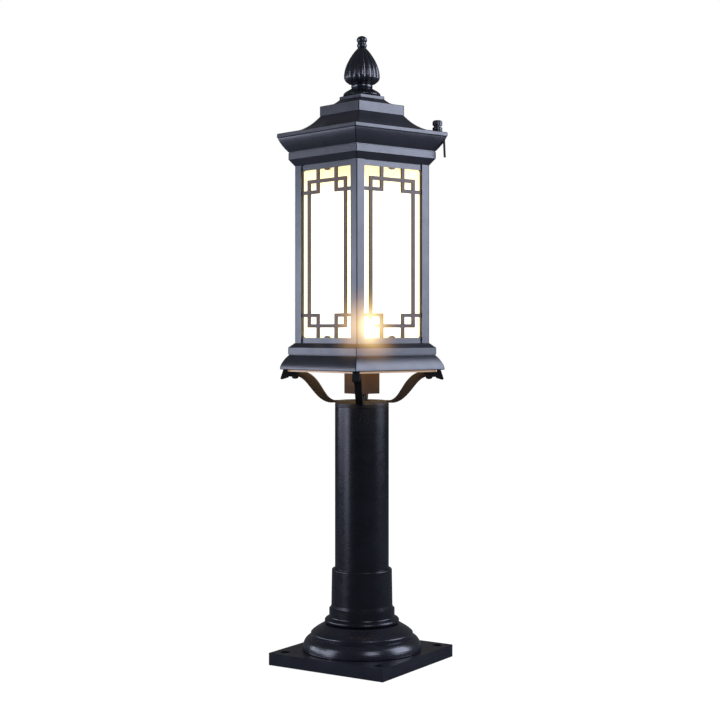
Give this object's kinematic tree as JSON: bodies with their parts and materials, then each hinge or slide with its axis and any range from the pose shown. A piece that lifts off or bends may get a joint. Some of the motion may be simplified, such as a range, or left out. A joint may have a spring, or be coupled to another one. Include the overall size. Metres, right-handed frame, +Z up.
{
  "type": "lantern floor lamp",
  "caption": "Square lantern with fretwork windows and a hollow-sloped roof with a ribbed finial, on four S-shaped arms, a round post, a stepped bell foot and a square base plate.",
  "frame": {"origin": "centre of the base plate's underside, on the post's axis", "axes": "+Z up the post; +X and +Y along the base plate's sides; at rest the lantern is turned 16.1 degrees clockwise from them, seen from above"},
  "size_m": [0.192, 0.192, 0.8],
  "materials": {
    "post_paint": "semi-gloss black powder coat",
    "lantern_paint": "satin charcoal powder coat",
    "finial_paint": "gloss black paint",
    "plated_steel": "zinc plated",
    "blackened_steel": "black oxide",
    "frosted_glass": "frosted, lit from inside",
    "frosted_acrylic": "frosted acrylic, lit from inside",
    "bulb_glass": "opal, lit",
    "black_plastic": "moulded black",
    "white_insulator": "glazed insulator",
    "lead_sheath": "silicone sheath",
    "brass": "plain"
  },
  "bodies": {
    "post": {"base_plate": "post_paint", "foot_bell": "post_paint", "foot_collar": "post_paint", "post_tube": "post_paint", "post_plug": "post_paint", "swivel_tube": "blackened_steel", "swivel_nuts": "blackened_steel", "bell_screws": "plated_steel", "collar_bolts": "plated_steel", "collar_grub_screws": "plated_steel", "cable_gland": "black_plastic", "terminal_block": "white_insulator", "earth_screw": "brass", "lamp_lead": "lead_sheath"},
    "lantern": {"arm_hub": "post_paint", "arm_1": "post_paint", "arm_2": "post_paint", "arm_3": "post_paint", "arm_4": "post_paint", "hub_screws": "plated_steel", "arm_bolts": "post_paint", "bottom_diffuser": "frosted_acrylic", "skirt": "lantern_paint", "holder_bridge": "plated_steel", "holder_box": "post_paint", "holder_stem": "blackened_steel", "lampholder": "white_insulator", "bridge_screws": "plated_steel", "corner_post_1": "lantern_paint", "corner_post_2": "lantern_paint", "corner_post_3": "lantern_paint", "corner_post_4": "lantern_paint", "fret_panel_1": "lantern_paint", "fret_panel_2": "lantern_paint", "fret_panel_3": "lantern_paint", "fret_panel_4": "lantern_paint", "pane_1": "frosted_glass", "pane_2": "frosted_glass", "pane_3": "frosted_glass", "pane_4": "frosted_glass", "pane_clips": "plated_steel", "panel_screws": "plated_steel", "top_frame": "lantern_paint"},
    "roof": {"roof_gasket": "black_plastic", "roof": "lantern_paint", "roof_strap": "black_plastic", "finial_stud": "plated_steel", "finial_nut": "plated_steel"},
    "finial": {"finial_crown": "finial_paint", "finial_neck": "finial_paint", "finial_bud": "finial_paint", "finial_tip": "finial_paint"},
    "knob": {"thumb_knob": "black_plastic"},
    "bulb": {"bulb_glass": "bulb_glass", "bulb_cap": "plated_steel"}
  },
  "joints": [
    {"name": "lantern_swivel", "type": "hinge", "parent": "post", "child": "lantern", "pos_m": [0, 0, 0.3253], "axis": [0, 0, 1], "range_deg": [-180, 180]},
    {"name": "roof_lift", "type": "slide", "parent": "lantern", "child": "roof", "axis": [0, 0, 1], "range_m": [0, 0.12]},
    {"name": "finial_turn", "type": "hinge", "parent": "roof", "child": "finial", "pos_m": [0, 0, 0.7227], "axis": [0, 0, 1], "continuous": true},
    {"name": "knob_turn", "type": "hinge", "parent": "roof", "child": "knob", "pos_m": [0.08296, 0.04943, 0.678], "axis": [0, 0, 1], "continuous": true},
    {"name": "bulb_turn", "type": "hinge", "parent": "lantern", "child": "bulb", "pos_m": [0, 0, 0.42], "axis": [0, 0, 1], "range_deg": [0, 720]}
  ]
}
